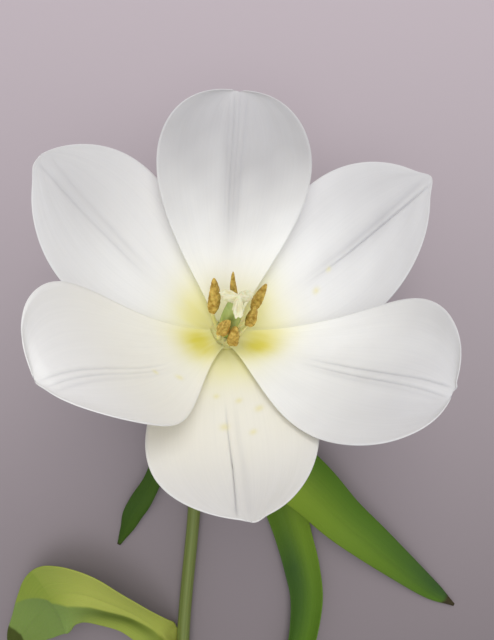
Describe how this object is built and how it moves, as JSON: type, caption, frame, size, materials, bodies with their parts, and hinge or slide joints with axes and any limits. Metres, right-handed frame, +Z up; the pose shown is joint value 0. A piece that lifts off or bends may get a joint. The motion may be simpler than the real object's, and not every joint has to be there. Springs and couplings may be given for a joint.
{
  "type": "tulip",
  "caption": "Cut white tulip with a wide-open flower, lying on a surface with its folded green leaves.",
  "frame": {"origin": "middle of the bottom of the bounding box, on the surface that the tulip lies on", "axes": "+Z up from the surface, +Y along the stem from the cut end towards the flower"},
  "size_m": [0.1585, 0.2844, 0.0879],
  "materials": {
    "stem": "smooth, slightly waxy fresh green stem",
    "leaf": "waxy leaf with fine parallel veins",
    "petal": "soft satin petal, white with a yellow base",
    "filament": "smooth pale cream",
    "anther": "powdery golden-brown pollen",
    "ovary": "smooth fresh green",
    "stigma": "velvety pale cream"
  },
  "bodies": {
    "root": {"stem": "stem", "lower_leaf": "leaf", "middle_leaf": "leaf", "upper_leaf": "leaf", "petal_top": "petal", "petal_left": "petal", "petal_right": "petal", "petal_upper_left": "petal", "petal_upper_right": "petal", "petal_bottom": "petal", "filament_1": "filament", "filament_2": "filament", "filament_3": "filament", "filament_4": "filament", "filament_5": "filament", "filament_6": "filament", "anther_1": "anther", "anther_2": "anther", "anther_3": "anther", "anther_4": "anther", "anther_5": "anther", "anther_6": "anther", "ovary": "ovary", "stigma": "stigma"}
  },
  "joints": []
}
